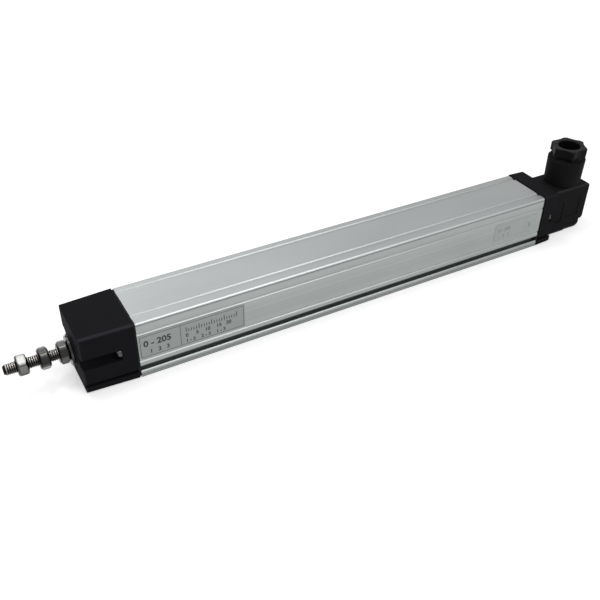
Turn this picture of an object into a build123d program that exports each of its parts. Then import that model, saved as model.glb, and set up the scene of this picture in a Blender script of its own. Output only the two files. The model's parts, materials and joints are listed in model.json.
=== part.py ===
from build123d import *
import math
import os

os.makedirs("parts", exist_ok=True)

# All sizes are in millimetres and all angles in degrees.
# The frame: the rod points to -X, the labels face -Y and +Z is up.
# The origin is the middle of the housing's bottom face.

# Lengths that stack up along the housing
mechanical_travel = 205.0
carriage_length = 32.0
front_bumper_length = 9.0
rear_bumper_length = 7.0
end_gap = 0.5
gasket_thickness = 1.0
bumper_stack = front_bumper_length + rear_bumper_length + 2 * end_gap
housing_length = mechanical_travel + carriage_length + bumper_stack - 2 * gasket_thickness
housing_front = -housing_length / 2
housing_rear = housing_length / 2

# Clearances
running_clearance = 0.05
fit_clearance = 0.1
loose_clearance = 0.3
thread_clearance = 0.02

# Housing section
housing_half_width = 16.5
housing_height = 33.0
rod_height = housing_height / 2
top_edge_radius = 1.2
foot_edge_radius = 0.4
foot_lip_bevel = 0.5
clamp_lip_radius = 0.8
top_line_width = 3.2
top_line_edge_distance = 4.1
top_line_outer = housing_half_width - top_line_edge_distance
top_line_inner = top_line_outer - top_line_width
top_line_depth = 0.5
clamp_groove_bottom = 3.9
clamp_groove_height = 2.8
clamp_groove_depth = 3.0
clamp_groove_top = clamp_groove_bottom + clamp_groove_height
side_line_width = 1.4
side_line_depth = 0.4
lower_line_bottom = 9.4
lower_line_top = lower_line_bottom + side_line_width
upper_line_distance = 5.9
upper_line_top = housing_height - upper_line_distance
upper_line_bottom = upper_line_top - side_line_width
foot_line_bottom = 1.6
foot_line_width = 0.4
foot_line_depth = 0.3
bead_line_distance = 1.2
bead_line_width = 0.5
bead_line_depth = 0.35
bead_line_top = housing_height - bead_line_distance
# Each side line is (lowest height, highest height, depth).
side_lines = (
    (foot_line_bottom, foot_line_bottom + foot_line_width, foot_line_depth),
    (lower_line_bottom, lower_line_top, side_line_depth),
    (upper_line_bottom, upper_line_top, side_line_depth),
    (bead_line_top - bead_line_width, bead_line_top, bead_line_depth),
)

# Screw channels of both caps and the screw ports behind them
port_inset = 2.9
port_radius = 1.52
screw_offset = housing_half_width - port_inset
screw_rise = 1.0
screw_height = rod_height + screw_rise
channel_radius = 3.1
channel_wall = 1.2
cap_hole_radius = 1.6
cap_screw_radius = 1.5
pan_head_radius = 2.75
pan_head_height = 2.2
front_screw_length = 20.0
rear_screw_length = 18.0
pan_crown_share = 0.6
pan_shoulder_share = 0.85
pan_shoulder_height = 0.8 * pan_head_height
pan_rim_height = 0.5 * pan_head_height
recess_length = 3.2
recess_width = 0.7
recess_depth = 1.1

# Hollow of the housing
hollow_wall = 2.8
roof_thickness = 2.6
floor_height = 2.6
lower_wall = 5.7
lip_width = 1.1
port_wall = 3.2
hollow_half_width = housing_half_width - hollow_wall
lower_half_width = housing_half_width - lower_wall
lip_half_width = hollow_half_width - lip_width
land_half_width = screw_offset - port_wall
hollow_top = housing_height - roof_thickness
board_drop = 7.3
board_bottom = rod_height - board_drop
board_thickness = 1.5
board_slot_play = 0.2
board_slot_height = board_thickness + board_slot_play
wing_thickness = 2.1
wing_slot_play = 0.2
wing_slot_drop = 4.4
wing_slot_bottom = rod_height - wing_slot_drop
wing_slot_top = wing_slot_bottom + wing_thickness + wing_slot_play
land_rise = 4.1
land_top = rod_height + land_rise

# Caps
front_cap_length = 26.2
rear_cap_length = 10.6
cap_overhang = 0.3
cap_side_draft = 2.4
cap_top_draft = 0.65
cap_edge_radius = 1.2
cap_face_radius = 0.6
cap_groove_bottom = 3.8
cap_groove_top = 5.6
cap_groove_inset = 1.9
cap_groove_half_width = housing_half_width - cap_groove_inset
front_seat_depth = 7.0
rear_seat_depth = 6.4
front_wall = 4.0
front_hollow_roof = 2.7
front_hollow_half_width = screw_offset - channel_radius - channel_wall
front_hollow_bottom = 3.0
front_hollow_top = housing_height - front_hollow_roof
rib_thickness = 2.0
front_cap_inner = housing_front - gasket_thickness
front_cap_face = front_cap_inner - front_cap_length
rear_cap_inner = housing_rear + gasket_thickness
rear_cap_face = rear_cap_inner + rear_cap_length

# Gaskets between the housing and the caps
gasket_inset = 0.3
gasket_side_step = 0.2
gasket_bottom_width = 3.2
gasket_top_width = 2.8
gasket_opening_half_width = land_half_width - gasket_side_step
gasket_opening_bottom = gasket_inset + gasket_bottom_width
gasket_opening_top = housing_height - gasket_inset - gasket_top_width

# Pull rod
rod_radius = 4.0
shoulder_gap = 1.2
thread_length = 31.4
rod_shoulder = front_cap_face - shoulder_gap
rod_tip = rod_shoulder - thread_length
thread_pitch = 1.0
thread_crest_radius = 3.0
thread_root_radius = 2.45
tip_chamfer = 1.0
thread_relief = 0.6
shoulder_bevel = 0.3
neck_radius = 2.0
ball_radius = 3.3
rod_end_gap = 1.0

# Nuts and washer on the rod
nut_across_flats = 10.0
nut_thickness = 5.0
nut_rim_share = 0.9
nut_bevel_angle = 42.0
washer_radius = 7.5
washer_thickness = 1.0
washer_play = 0.2
washer_hole_radius = thread_crest_radius + washer_play
outer_nut_distance = 8.6
middle_nut_distance = 18.8
outer_nut_centre = rod_tip + outer_nut_distance
middle_nut_centre = rod_tip + middle_nut_distance
inner_nut_centre = rod_shoulder - washer_thickness - nut_thickness / 2
outer_nut_turn = 21.0
middle_nut_turn = 8.6
inner_nut_turn = 58.6

# Rod bushing and wiper seal
bush_wall = 2.0
bush_radius = rod_radius + bush_wall
bush_flange_radius = 7.5
bush_flange_thickness = 1.5
spigot_step = 0.4
spigot_radius = bush_radius - spigot_step
spigot_length = 5.0
hub_wall = 2.5
hub_radius = bush_radius + hub_wall
seal_radius = 6.9
seal_recess_depth = 3.0
seal_proud = 0.9
seal_lip_depth = 1.4
seal_dish = 1.2
seal_edge = 0.4
bush_chamfer = 0.4

# Carriage
carriage_play = 0.9
carriage_roof_gap = 1.9
carriage_half_width = land_half_width - carriage_play
carriage_top = hollow_top - carriage_roof_gap
wing_half_width = hollow_half_width - loose_clearance
carriage_bottom = wing_slot_bottom + fit_clearance
carriage_rear = rear_cap_inner - rear_bumper_length - end_gap
carriage_front = carriage_rear - carriage_length
carriage_middle = (carriage_front + carriage_rear) / 2
ball_pocket_radius = ball_radius + loose_clearance
clip_thickness = 1.5
clip_wall = 1.6
clip_leg = 2.5
clip_slot_half_width = neck_radius + loose_clearance
clip_half_width = clip_slot_half_width + clip_leg
clip_rise = 3.5
clip_top = rod_height + clip_rise
clip_front = carriage_front + clip_wall
ball_reach = math.sqrt(ball_radius**2 - clip_slot_half_width**2)
ball_centre = clip_front + clip_thickness + ball_reach + loose_clearance
spring_peg_radius = 1.0
spring_peg_height = 0.9
spring_peg_root = 1.0
spring_peg_offset = 3.0

# Connector base and its pins
connector_drop = 1.2
connector_ground_gap = 0.45
connector_height = rod_height - connector_drop
connector_half_height = connector_height - connector_ground_gap
pin_offset = 5.0
pin_width = 4.8
pin_thickness = 0.8
pin_tail = 1.7
pin_length = 20.7
pin_tip_bevel = 0.25
pocket_wall = 0.75
flange_half_width = screw_offset - channel_radius - pocket_wall
flange_inset = 0.5
flange_half_height = connector_half_height - flange_inset
flange_thickness = 2.0
base_half_width = 8.0
base_depth = 6.0
base_front = rear_cap_face - flange_thickness - base_depth
pin_front = base_front - pin_tail
base_screw_inset_y = 2.15
base_screw_inset_z = 2.55
base_screw_offset_y = flange_half_width - base_screw_inset_y
base_screw_offset_z = flange_half_height - base_screw_inset_z
base_screw_radius = 1.25
base_screw_length = 7.6
base_head_radius = 1.9
base_head_height = 1.1
base_hole_depth = 6.4
connector_gasket_inset = 0.65
connector_gasket_opening = 7.2
connector_gasket_corner = 1.5

# Bumpers
front_bumper_radius = 8.0
front_bumper_clearance = 0.6
front_bumper_bore = rod_radius + front_bumper_clearance
rear_bumper_half_width = 7.0
rear_bumper_gap = 0.6
rear_bumper_bottom = connector_height + base_half_width + fit_clearance + rear_bumper_gap
rear_bumper_top = carriage_top
bumper_peg_radius = 1.5
bumper_peg_length = 3.0
bumper_edge = 0.8

# Leaf spring on the carriage
spring_thickness = 0.3
spring_half_width = 4.0
spring_flat_length = 10.0
spring_arm_length = 9.0
spring_foot_length = 2.0
spring_roof_gap = 0.2
spring_rise = carriage_roof_gap - spring_thickness - spring_roof_gap

# Resistor board
board_gap = 2.0
board_rear_gap = 0.6
board_front = front_cap_inner + front_bumper_length + board_gap
board_rear = housing_rear - board_rear_gap
board_half_width = hollow_half_width - fit_clearance
board_top = board_bottom + board_thickness
track_thickness = 0.1
track_half_width = 3.0
track_offset = 5.0
track_front_inset = 3.0
track_rear_inset = 1.0
track_front = board_front + track_front_inset
track_rear = board_rear - track_rear_inset
return_half_width = 1.0
rivet_radius = 0.6
rivet_inset = 1.8

# Brushes under the carriage
brush_plate_length = 12.0
brush_plate_inset = 0.7
brush_plate_half_width = carriage_half_width - brush_plate_inset
brush_thickness = 0.3
finger_length = 6.0
finger_width = 0.6
finger_pitch = 0.95
fingers_per_track = 6
brush_gap = 0.05

# Terminals and lead wires
terminal_inset = 1.4
terminal_x = track_rear - terminal_inset
terminal_radius = 0.7
terminal_base_radius = 1.2
terminal_base_thickness = 0.4
terminal_height = 1.7
terminal_top = board_top + terminal_height
wire_radius = 0.5
wire_bend_radius = 1.4
wire_straight_share = 0.8

# Connector housing
connector_length = 30.3
connector_front = rear_cap_face + gasket_thickness
connector_rear = connector_front + connector_length
connector_half_width = 11.25
connector_bottom = connector_height - connector_half_height
connector_top = connector_height + connector_half_height
connector_gasket_half_width = connector_half_width - connector_gasket_inset
connector_gasket_half_height = connector_half_height - connector_gasket_inset
top_corner_radius = 2.0
connector_edge_radius = 0.8
side_wall = 2.2
end_wall = 2.5
cavity_margin = 2.8
cavity_corner_radius = 7.0
cavity_top_radius = 1.0
parting_line_width = 0.6
parting_line_depth = 0.5
parting_line_inset = 6.7
parting_line_length = 4.1
parting_line_drop = 7.1
parting_line_height = 13.1
parting_line_front = connector_front + parting_line_inset
parting_line_x = parting_line_front + parting_line_length
parting_line_bottom = connector_height - parting_line_drop
parting_line_top = parting_line_bottom + parting_line_height
skirt_line_share = 0.508
skirt_line_front = connector_front + skirt_line_share * connector_length
skirt_line_rise = 4.95
skirt_rise = 7.55
skirt_line_height = connector_bottom + skirt_line_rise
skirt_top = connector_bottom + skirt_rise
skirt_inset_x = 2.4
skirt_inset_y = 0.5
skirt_corner_radius = 3.0
side_panel_length = 10.0
side_panel_height = 12.0
side_panel_rear_inset = 6.0
side_panel_drop = 5.3
side_panel_rear = connector_rear - side_panel_rear_inset
side_panel_front = side_panel_rear - side_panel_length
side_panel_bottom = connector_height - side_panel_drop
side_panel_top = side_panel_bottom + side_panel_height
side_panel_depth = 0.25

# Gland barrel on the connector
barrel_distance = 16.9
gland_x = connector_front + barrel_distance
barrel_height = 16.35
barrel_base_inset = 0.35
barrel_flare = 0.25
barrel_base_radius = connector_half_width - barrel_base_inset
barrel_top_radius = barrel_base_radius + barrel_flare
barrel_top = connector_top + barrel_height
barrel_edge = 0.7
barrel_bore_radius = 8.8
cable_hole_radius = 5.5
gland_floor_height = 3.85
gland_floor = connector_top + gland_floor_height

# Gland seal, thrust ring and nut
gland_seal_radius = barrel_bore_radius - loose_clearance
gland_seal_bore = 4.0
gland_seal_height = 4.0
thrust_ring_play = 0.4
thrust_ring_radius = barrel_bore_radius - thrust_ring_play
thrust_ring_bore = 7.1
thrust_ring_thickness = 1.0
gland_thread_pitch = 1.5
gland_thread_depth = 0.6
gland_crest_radius = barrel_bore_radius - fit_clearance
gland_nut_gap = 2.2
gland_head_height = 5.1
gland_head_radius = 10.8
gland_flank_radius = 15.0
gland_flank_middle = 8.9
gland_corner_radius = 1.2
gland_head_edge = 0.6
cable_bore_radius = 6.5
cable_mouth_width = 0.5
cable_mouth_radius = cable_bore_radius + cable_mouth_width

# Terminal insert, sockets and clamping screws
insert_front_gap = 0.2
insert_depth = 12.0
insert_side_gap = 0.05
insert_half_width = connector_half_width - side_wall - insert_side_gap
insert_half_height = connector_half_height - cavity_margin - insert_side_gap
socket_wall = 0.5
socket_gap = 0.1
socket_front_gap = 1.0
socket_depth = 9.4
clamp_half_width = 2.2
clamp_depth = 4.0
wire_hole_radius = 0.8
clamp_screw_radius = 1.2
clamp_screw_depth = 2.0
clamp_head_radius = 2.0
clamp_head_height = 1.6

# Fixing screw of the connector
fixing_screw_radius = 1.5
fixing_screw_play = 0.2
fixing_hole_radius = fixing_screw_radius + fixing_screw_play
fixing_screw_length = 34.0
fixing_head_radius = 3.0
fixing_head_height = 2.2
fixing_head_play = 0.4
fixing_recess_radius = fixing_head_radius + fixing_head_play
fixing_recess_depth = 3.5
fixing_boss_wall = 1.6
fixing_boss_radius = fixing_recess_radius + fixing_boss_wall
fixing_boss_length = 6.0
fixing_seal_thickness = 0.8
fixing_seal_radius = 3.2

# Labels
label_thickness = 0.12
label_corner = 0.6
type_label_length = 55.6
type_label_inset = 0.4
type_label_front = housing_front + type_label_inset
type_label_rear = type_label_front + type_label_length
type_label_gap = 0.4
type_label_bottom = lower_line_top + type_label_gap
type_label_top = upper_line_bottom - type_label_gap
rear_label_length = 32.2
rear_label_inset = 3.0
rear_label_rear = housing_rear - rear_label_inset
rear_label_front = rear_label_rear - rear_label_length
rear_label_gap_below = 2.0
rear_label_gap_above = 1.5
rear_label_bottom = lower_line_top + rear_label_gap_below
rear_label_top = upper_line_bottom - rear_label_gap_above
rear_label_corner = 1.5


def rect(y_min, y_max, z_min, z_max):
    """A rectangle in a section across X: its own x is Y and its own y is Z."""
    middle = Pos((y_min + y_max) / 2, (z_min + z_max) / 2)
    return middle * Rectangle(y_max - y_min, z_max - z_min)


def rounded_rect(half_width, z_min, z_max, radius):
    """A rectangle about the middle plane with rounded corners."""
    middle = Pos(0, (z_min + z_max) / 2)
    return middle * RectangleRounded(2 * half_width, z_max - z_min, radius)


def both_sides(sketch):
    """A section with its mirror image on the other side of the middle plane."""
    return sketch + mirror(sketch, Plane.YZ)


def along_x(sketch, x_start, x_end):
    """A section carried along X."""
    return extrude(Plane.YZ.offset(x_start) * sketch, amount=x_end - x_start)


def block(x_range, y_range, z_range):
    """A box given by its lowest and highest X, Y and Z."""
    ranges = (x_range, y_range, z_range)
    middle = [(low + high) / 2 for low, high in ranges]
    sizes = [high - low for low, high in ranges]
    return Pos(*middle) * Box(*sizes)


def disc_x(x_start, x_end, radius, y=0.0, z=rod_height):
    """A cylinder along X."""
    return along_x(Pos(y, z) * Circle(radius), x_start, x_end)


def disc_z(x, y, z_start, z_end, radius):
    """A cylinder along Z."""
    return Pos(x, y, (z_start + z_end) / 2) * Cylinder(radius, z_end - z_start)


def turned_x(points, z=rod_height):
    """A part turned about an axis along X, from its (x, radius) outline."""
    outline = make_face(Polyline(*points, close=True))
    return Pos(0, 0, z) * revolve(Plane.XZ * outline, Axis.X)


def turned_z(points, x):
    """A part turned about an axis along Z, from its (radius, z) outline."""
    outline = make_face(Polyline(*points, close=True))
    return Pos(x, 0, 0) * revolve(Plane.XZ * outline, Axis.Z)


def thread_outline(start, end, crest, root, pitch):
    """The (position, radius) points of a row of thread ridges, each one pitch long."""
    ridges = round((end - start) / pitch)
    points = []
    for ridge in range(ridges):
        points.append((start + ridge * pitch, root))
        points.append((start + (ridge + 0.5) * pitch, crest))
    points.append((start + ridges * pitch, root))
    return points


def cap_block(inner, face):
    """A cap that narrows with draft from the housing's end to its outer face."""
    length = abs(face - inner)
    side_loss = length * math.tan(math.radians(cap_side_draft))
    top_loss = length * math.tan(math.radians(cap_top_draft))
    half_width = housing_half_width + cap_overhang
    top = housing_height + cap_overhang
    wide = rounded_rect(half_width, 0, top, cap_edge_radius)
    narrow = rounded_rect(half_width - side_loss, top_loss, top - top_loss, cap_edge_radius)
    ends = [Plane.YZ.offset(inner) * wide, Plane.YZ.offset(face) * narrow]
    body = loft(ends, ruled=True)
    face_edges = body.edges().group_by(Axis.X)[0 if face < inner else -1]
    return fillet(face_edges, cap_face_radius)


def drilled_cap(inner, face, seat):
    """A cap with its screw channels, screw holes and foot grooves."""
    far_side = 2 * housing_half_width
    channel = Pos(screw_offset, screw_height) * Circle(channel_radius)
    channel_bottom = screw_height - channel_radius
    channel += rect(screw_offset, far_side, channel_bottom, screw_height + channel_radius)
    groove = rect(cap_groove_half_width, far_side, cap_groove_bottom, cap_groove_top)
    cap = cap_block(inner, face)
    cap -= along_x(both_sides(channel), seat, face)
    cap -= along_x(screw_circles(cap_hole_radius), inner, seat)
    cap -= along_x(both_sides(groove), inner, face)
    return cap


def screw_circles(radius):
    """A circle on the axis of each of a cap's two screws."""
    return both_sides(Pos(screw_offset, screw_height) * Circle(radius))


def hollow_section():
    """The hollow of the housing, level by level from its floor to its ceiling."""
    board_slot_top = board_bottom + board_slot_height
    levels = (
        (floor_height, board_bottom, lower_half_width),
        (board_bottom, board_slot_top, hollow_half_width),
        (board_slot_top, wing_slot_bottom, lip_half_width),
        (wing_slot_bottom, wing_slot_top, hollow_half_width),
        (wing_slot_top, land_top, land_half_width),
        (land_top, hollow_top, hollow_half_width),
    )
    section = Sketch()
    for bottom, top, half_width in levels:
        section += rect(-half_width, half_width, bottom, top)
    return section


def top_line():
    """The section of a line in the housing's top, with both walls sloped to its floor."""
    top = housing_height
    floor = top - top_line_depth
    inner = top_line_inner + top_line_depth
    outer = top_line_outer - top_line_depth
    return make_face(
        Polyline((top_line_inner, top), (inner, floor), (outer, floor), (top_line_outer, top), close=True)
    )


def side_line(bottom, top, depth):
    """The section of a shallow line in the housing's side, with both walls sloped."""
    face = housing_half_width
    floor = face - depth
    slope = min(depth, (top - bottom) / 3)
    return make_face(
        Polyline((face, bottom), (floor, bottom + slope), (floor, top - slope), (face, top), close=True)
    )


def clamp_groove():
    """The section of the groove above the foot, with a rounded lip over it and a bevelled one under it."""
    face = housing_half_width
    floor = face - clamp_groove_depth
    bottom = clamp_groove_bottom
    top = clamp_groove_top
    groove = rect(floor, face, bottom, top)
    bevel = Polyline(
        (face - foot_lip_bevel, bottom), (face, bottom - foot_lip_bevel), (face, bottom), close=True
    )
    lip = rect(face - clamp_lip_radius, face, top, top + clamp_lip_radius)
    lip -= Pos(face - clamp_lip_radius, top + clamp_lip_radius) * Circle(clamp_lip_radius)
    return groove + make_face(bevel) + lip


def housing_extrusion():
    """The aluminium profile with its lines, clamp grooves, hollow and screw ports."""
    section = rect(-housing_half_width, housing_half_width, 0, housing_height)
    section = fillet(section.vertices().group_by(Axis.Y)[-1], top_edge_radius)
    section = fillet(section.vertices().group_by(Axis.Y)[0], foot_edge_radius)
    section -= both_sides(top_line())
    for bottom, top, depth in side_lines:
        section -= both_sides(side_line(bottom, top, depth))
    section -= both_sides(clamp_groove())
    section -= hollow_section()
    section -= screw_circles(port_radius)
    return along_x(section, housing_front, housing_rear)


def front_cap():
    """The front cap: a hollow moulding whose ribbed hub carries the rod bushing."""
    cap = drilled_cap(front_cap_inner, front_cap_face, front_cap_inner - front_seat_depth)
    side = front_hollow_half_width
    wall = front_cap_face + front_wall
    hub_end = front_cap_inner - bush_flange_thickness
    half_rib = rib_thickness / 2
    hollow = rect(-side, side, front_hollow_bottom, front_hollow_top)
    ribs = rect(-half_rib, half_rib, front_hollow_bottom, front_hollow_top)
    ribs += rect(-side, side, rod_height - half_rib, rod_height + half_rib)
    cap -= along_x(hollow, wall, front_cap_inner)
    cap += along_x(ribs, wall, hub_end)
    cap += disc_x(wall, hub_end, hub_radius)
    cap -= disc_x(front_cap_face, hub_end, bush_radius)
    cap -= disc_x(front_cap_face, front_cap_face + seal_recess_depth, seal_radius)
    return cap


def rear_cap():
    """The rear cap with the window and pocket for the connector's base."""
    cap = drilled_cap(rear_cap_inner, rear_cap_face, rear_cap_inner + rear_seat_depth)
    window = about_connector(base_half_width + fit_clearance, base_half_width + fit_clearance)
    pocket = about_connector(flange_half_width + fit_clearance, flange_half_height + fit_clearance)
    pocket_floor = rear_cap_face - flange_thickness
    cap -= along_x(window, rear_cap_inner, rear_cap_face)
    cap -= along_x(pocket, pocket_floor, rear_cap_face)
    cap -= along_x(base_screw_circles(base_screw_radius), rear_cap_inner, pocket_floor)
    cap -= bumper_peg()
    return cap


def end_gasket(start):
    """The frame-shaped gasket between the housing and a cap."""
    half_width = housing_half_width - gasket_inset
    top = housing_height - gasket_inset
    opening = gasket_opening_half_width
    section = rounded_rect(half_width, gasket_inset, top, top_edge_radius)
    section -= rect(-opening, opening, gasket_opening_bottom, gasket_opening_top)
    section -= screw_circles(cap_hole_radius)
    return along_x(section, start, start + gasket_thickness)


def cap_screws(seat, direction, length):
    """The two pan-head screws of a cap; direction is where their shanks point."""
    height = pan_head_height
    outline = (
        (-height, 0),
        (-height, pan_crown_share * pan_head_radius),
        (-pan_shoulder_height, pan_shoulder_share * pan_head_radius),
        (-pan_rim_height, pan_head_radius),
        (0, pan_head_radius),
        (0, cap_screw_radius),
        (length, cap_screw_radius),
        (length, 0),
    )
    screw = turned_x([(seat + direction * x, radius) for x, radius in outline], screw_height)
    half_length = recess_length / 2
    half_width = recess_width / 2
    cross = rect(-half_length, half_length, screw_height - half_width, screw_height + half_width)
    cross += rect(-half_width, half_width, screw_height - half_length, screw_height + half_length)
    head_top = seat - direction * height
    screw -= along_x(cross, head_top, head_top + direction * recess_depth)
    return Pos(0, -screw_offset, 0) * screw + Pos(0, screw_offset, 0) * screw


def rod_bushing():
    """The flanged plain bearing of the rod, with a spigot for the front bumper."""
    bore = rod_radius + running_clearance
    start = front_cap_face + seal_recess_depth
    flange = front_cap_inner - bush_flange_thickness
    end = front_cap_inner + spigot_length
    return turned_x(
        [
            (start, bore + bush_chamfer),
            (start, bush_radius - bush_chamfer),
            (start + bush_chamfer, bush_radius),
            (flange, bush_radius),
            (flange, bush_flange_radius),
            (front_cap_inner, bush_flange_radius),
            (front_cap_inner, spigot_radius),
            (end, spigot_radius),
            (end, bore + bush_chamfer),
            (end - bush_chamfer, bore),
            (start + bush_chamfer, bore),
        ]
    )


def rod_wiper_seal():
    """The rubber seal round the rod, dished towards its outer face."""
    bore = rod_radius + running_clearance
    start = front_cap_face - seal_proud
    end = front_cap_face + seal_recess_depth
    return turned_x(
        [
            (start, bore + seal_dish),
            (start, seal_radius - seal_edge),
            (start + seal_edge, seal_radius),
            (end, seal_radius),
            (end, bore),
            (start + seal_lip_depth, bore),
        ]
    )


def front_bumper():
    """The rubber ring on the bushing's spigot that stops the carriage."""
    end = front_cap_inner + front_bumper_length
    step = front_cap_inner + spigot_length
    return turned_x(
        [
            (front_cap_inner, spigot_radius),
            (front_cap_inner, front_bumper_radius),
            (end - bumper_edge, front_bumper_radius),
            (end, front_bumper_radius - bumper_edge),
            (end, front_bumper_bore),
            (step, front_bumper_bore),
            (step, spigot_radius),
        ]
    )


def bumper_peg():
    """The peg that holds the rear bumper in the rear cap."""
    height = (rear_bumper_bottom + rear_bumper_top) / 2
    return disc_x(rear_cap_inner, rear_cap_inner + bumper_peg_length, bumper_peg_radius, 0, height)


def rear_bumper():
    """The rubber block that stops the carriage at the rear."""
    half_width = rear_bumper_half_width
    section = rect(-half_width, half_width, rear_bumper_bottom, rear_bumper_top)
    front = rear_cap_inner - rear_bumper_length
    return along_x(section, front, rear_cap_inner) + bumper_peg()


def rod_thread(growth):
    """The thread's (x, radius) outline, grown by a clearance for the nuts' bores."""
    start = rod_tip + tip_chamfer
    end = rod_shoulder - thread_relief
    crest = thread_crest_radius + growth
    return thread_outline(start, end, crest, thread_root_radius + growth, thread_pitch)


def pull_rod():
    """The rod: threaded end, shoulder, plain shaft, neck and swivel ball."""
    neck_start = carriage_front - rod_end_gap
    points = [(rod_tip, 0), (rod_tip, thread_crest_radius - tip_chamfer)]
    points += rod_thread(0)
    points += [
        (rod_shoulder, thread_root_radius),
        (rod_shoulder, rod_radius - shoulder_bevel),
        (rod_shoulder + shoulder_bevel, rod_radius),
        (neck_start, rod_radius),
        (neck_start, neck_radius),
        (ball_centre, neck_radius),
        (ball_centre, 0),
    ]
    return turned_x(points) + Pos(ball_centre, 0, rod_height) * Sphere(ball_radius)


def rod_nut(centre, turn):
    """A hexagon nut on the rod's thread, turned by an angle about the rod."""
    start = centre - nut_thickness / 2
    end = centre + nut_thickness / 2
    corner = nut_across_flats / math.sqrt(3)
    rim = nut_rim_share * nut_across_flats / 2
    blank = corner + fit_clearance
    bevel = (blank - rim) * math.tan(math.radians(nut_bevel_angle))
    hexagon = Pos(0, rod_height) * RegularPolygon(corner, 6, rotation=turn)
    outline = [(start, 0), (start, rim), (start + bevel, blank)]
    outline += [(end - bevel, blank), (end, rim), (end, 0)]
    thread = rod_thread(thread_clearance)
    bore = turned_x([(thread[0][0], 0)] + thread + [(thread[-1][0], 0)])
    return (along_x(hexagon, start, end) & turned_x(outline)) - bore


def rod_washer():
    """The washer between the inner nut and the rod's shoulder."""
    front = rod_shoulder - washer_thickness
    ring = Circle(washer_radius) - Circle(washer_hole_radius)
    return along_x(Pos(0, rod_height) * ring, front, rod_shoulder)


def wiper_carriage():
    """The sliding block with its wings, ball pocket, clip slot and spring pegs."""
    length = (carriage_front, carriage_rear)
    wing_top = carriage_bottom + wing_thickness
    half_slot = clip_half_width + fit_clearance
    slot_length = (clip_front - fit_clearance, clip_front + clip_thickness + fit_clearance)
    pocket_end = ball_centre + ball_pocket_radius
    body = rect(-carriage_half_width, carriage_half_width, carriage_bottom, carriage_top)
    body += rect(-wing_half_width, wing_half_width, carriage_bottom, wing_top)
    carriage = along_x(body, *length)
    carriage -= disc_x(carriage_front, pocket_end, ball_pocket_radius)
    slot_height = (carriage_bottom, clip_top + fit_clearance)
    carriage -= block(slot_length, (-half_slot, half_slot), slot_height)
    for x in spring_peg_places():
        peg_top = carriage_top + spring_peg_height
        carriage += disc_z(x, 0, carriage_top - spring_peg_root, peg_top, spring_peg_radius)
    return carriage


def spring_peg_places():
    """The X of each of the two pegs that hold the leaf spring."""
    return carriage_middle - spring_peg_offset, carriage_middle + spring_peg_offset


def swivel_clip():
    """The U-shaped keeper that straddles the rod's neck in front of the ball."""
    section = rect(-clip_half_width, clip_half_width, carriage_bottom, clip_top)
    half_slot = clip_slot_half_width
    section -= rect(-half_slot, half_slot, rod_height, clip_top)
    section -= Pos(0, rod_height) * Circle(half_slot)
    return along_x(section, clip_front, clip_front + clip_thickness)


def upright_plate(points, y, width):
    """A plate drawn in X and Z with its middle at y."""
    outline = make_face(Polyline(*points, close=True))
    return Pos(0, y, 0) * extrude(Plane.XZ * outline, amount=width / 2, both=True)


def carriage_spring():
    """The bowed leaf spring between the carriage and the housing's ceiling."""
    flat = spring_flat_length / 2
    knee = flat + spring_arm_length
    foot = knee + spring_foot_length
    foot_rise = spring_rise - spring_thickness
    lower = [(-foot, foot_rise), (-knee, spring_rise), (-flat, 0)]
    lower += [(flat, 0), (knee, spring_rise), (foot, foot_rise)]
    upper = [(x, rise + spring_thickness) for x, rise in reversed(lower)]
    points = [(carriage_middle + x, carriage_top + rise) for x, rise in lower + upper]
    spring = upright_plate(points, 0, 2 * spring_half_width)
    hole_radius = spring_peg_radius + fit_clearance
    for x in spring_peg_places():
        spring -= disc_z(x, 0, carriage_top, carriage_top + spring_thickness, hole_radius)
    return spring


def wiper_brushes():
    """The brush plate under the carriage with a comb of fingers over each track."""
    front = carriage_middle - brush_plate_length / 2
    rear = carriage_middle + brush_plate_length / 2
    plate_bottom = carriage_bottom - brush_thickness
    side = brush_plate_half_width
    brushes = block((front, rear), (-side, side), (plate_bottom, carriage_bottom))
    tip = board_top + track_thickness + brush_gap
    finger = [(front, carriage_bottom), (front, plate_bottom)]
    finger += [(front - finger_length, tip), (front - finger_length, tip + brush_thickness)]
    comb_half_width = (fingers_per_track - 1) * finger_pitch / 2
    for track_middle in (-track_offset, track_offset):
        for number in range(fingers_per_track):
            y = track_middle - comb_half_width + number * finger_pitch
            brushes += upright_plate(finger, y, finger_width)
    return brushes


def track_section(middle, half_width, bottom):
    """The section of a printed track on the board."""
    return rect(middle - half_width, middle + half_width, bottom, bottom + track_thickness)


def printed_track(middle):
    """A straight track along the top of the board."""
    section = track_section(middle, track_half_width, board_top)
    return along_x(section, track_front, track_rear)


def return_track():
    """The conductor under the board, riveted to the resistive track's front end."""
    side = return_half_width
    bottom = board_bottom - track_thickness
    length = (track_front, track_rear)
    track = block(length, (-side, side), (bottom, board_bottom))
    foot_rear = track_front + 2 * rivet_inset
    track += block((track_front, foot_rear), (-track_offset - side, side), (bottom, board_bottom))
    track += disc_z(track_front + rivet_inset, -track_offset, bottom, board_top, rivet_radius)
    return track


def resistor_board():
    """The board that stands on the housing's ledges."""
    side = board_half_width
    board = block((board_front, board_rear), (-side, side), (board_bottom, board_top))
    rivet_x = track_front + rivet_inset
    board -= disc_z(rivet_x, -track_offset, board_bottom, board_top, rivet_radius + fit_clearance)
    board -= disc_z(terminal_x, 0, board_bottom, board_top, terminal_radius)
    return board


def board_terminals():
    """The three solder posts at the board's rear end."""
    posts = Part()
    track_top = board_top + track_thickness
    rows = ((-track_offset, track_top, track_top), (0, board_bottom, board_top))
    rows += ((track_offset, track_top, track_top),)
    for y, foot, collar in rows:
        posts += disc_z(terminal_x, y, foot, terminal_top, terminal_radius)
        collar_top = collar + terminal_base_thickness
        posts += disc_z(terminal_x, y, collar, collar_top, terminal_base_radius)
    return posts


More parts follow.
